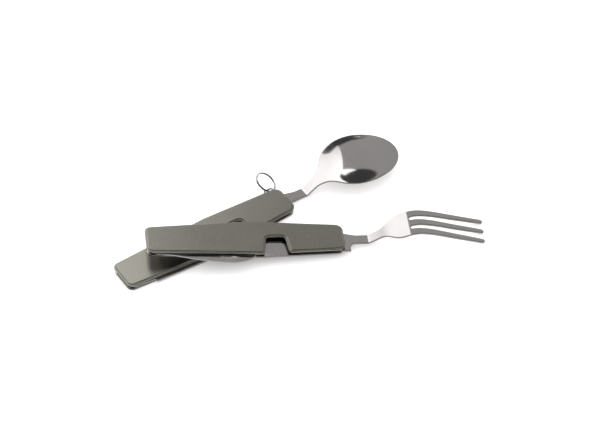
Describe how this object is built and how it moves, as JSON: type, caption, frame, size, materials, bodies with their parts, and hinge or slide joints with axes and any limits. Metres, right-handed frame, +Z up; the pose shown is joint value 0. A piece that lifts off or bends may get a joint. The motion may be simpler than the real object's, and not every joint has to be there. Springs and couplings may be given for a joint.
{
  "type": "folding cutlery set",
  "caption": "Folding camping cutlery in two flat metal halves: one with a fork and a knife, one with a spoon, a bottle opener and a key ring.",
  "frame": {"origin": "centre of the footprint of the open set, on the surface that it lies on", "axes": "+Z up, +X towards the tips of the fork and along the longest extent, +Y towards the spoon"},
  "size_m": [0.1946, 0.11, 0.0136],
  "materials": {
    "gunmetal_cover": "satin gunmetal anodised",
    "gunmetal_liner": "satin gunmetal anodised",
    "polished_liner": "polished stainless sheet",
    "polished_cutlery": "mirror-polished stainless steel",
    "ground_steel": "finely ground stainless steel",
    "spring_steel": "blanked spring steel",
    "rivet_steel": "turned stainless steel",
    "ring_wire": "drawn bright wire"
  },
  "bodies": {
    "spoon_handle": {"spoon_half_cover": "gunmetal_cover", "spoon_half_upper_liner": "gunmetal_liner", "spoon_half_lower_liner": "polished_liner", "spoon_half_back_spring": "spring_steel", "spoon_pivot_rivet": "rivet_steel", "opener_pivot_rivet": "rivet_steel", "spoon_half_front_spring_rivet": "rivet_steel", "spoon_half_rear_spring_rivet": "rivet_steel"},
    "spoon_tool": {"spoon": "polished_cutlery"},
    "opener_tool": {"bottle_opener": "ground_steel"},
    "ring": {"key_ring": "ring_wire"},
    "fork_handle": {"fork_half_cover": "gunmetal_cover", "fork_half_upper_liner": "gunmetal_liner", "fork_half_lower_liner": "polished_liner", "fork_half_back_spring": "spring_steel", "fork_pivot_rivet": "rivet_steel", "knife_pivot_rivet": "rivet_steel", "fork_half_front_spring_rivet": "rivet_steel", "fork_half_rear_spring_rivet": "rivet_steel"},
    "fork_tool": {"fork": "polished_cutlery"},
    "knife_tool": {"knife_blade": "ground_steel"}
  },
  "joints": [
    {"name": "spoon_fold", "type": "hinge", "parent": "spoon_handle", "child": "spoon_tool", "pos_m": [-0.0156, 0.00533, 0.0015], "axis": [0, 0, -1], "range_deg": [0, 168]},
    {"name": "opener_open", "type": "hinge", "parent": "spoon_handle", "child": "opener_tool", "pos_m": [-0.08603, -0.04902, 0.0015], "axis": [0, 0, -1], "range_deg": [0, 180]},
    {"name": "key_ring_swing", "type": "hinge", "parent": "spoon_handle", "child": "ring", "pos_m": [-0.01701, 0.01624, 0.00262], "axis": [0.7823, 0.3661, -0.5039], "range_deg": [-30, 45]},
    {"name": "fork_half_lift", "type": "slide", "parent": "spoon_handle", "child": "fork_handle", "axis": [0, 0, 1], "range_m": [0, 0.12]},
    {"name": "fork_fold", "type": "hinge", "parent": "fork_handle", "child": "fork_tool", "pos_m": [0.01292, -0.0228, 0.00433], "axis": [-0.0652, -0.0427, -0.997], "range_deg": [0, 168]},
    {"name": "knife_open", "type": "hinge", "parent": "fork_handle", "child": "knife_tool", "pos_m": [-0.07469, -0.03455, 0.01057], "axis": [-0.0652, -0.0427, -0.997], "range_deg": [0, 180]}
  ],
  "couplings": [
    {"joint": "spoon_fold", "follows": "fork_half_lift", "rad_per_m": 24.4}
  ]
}
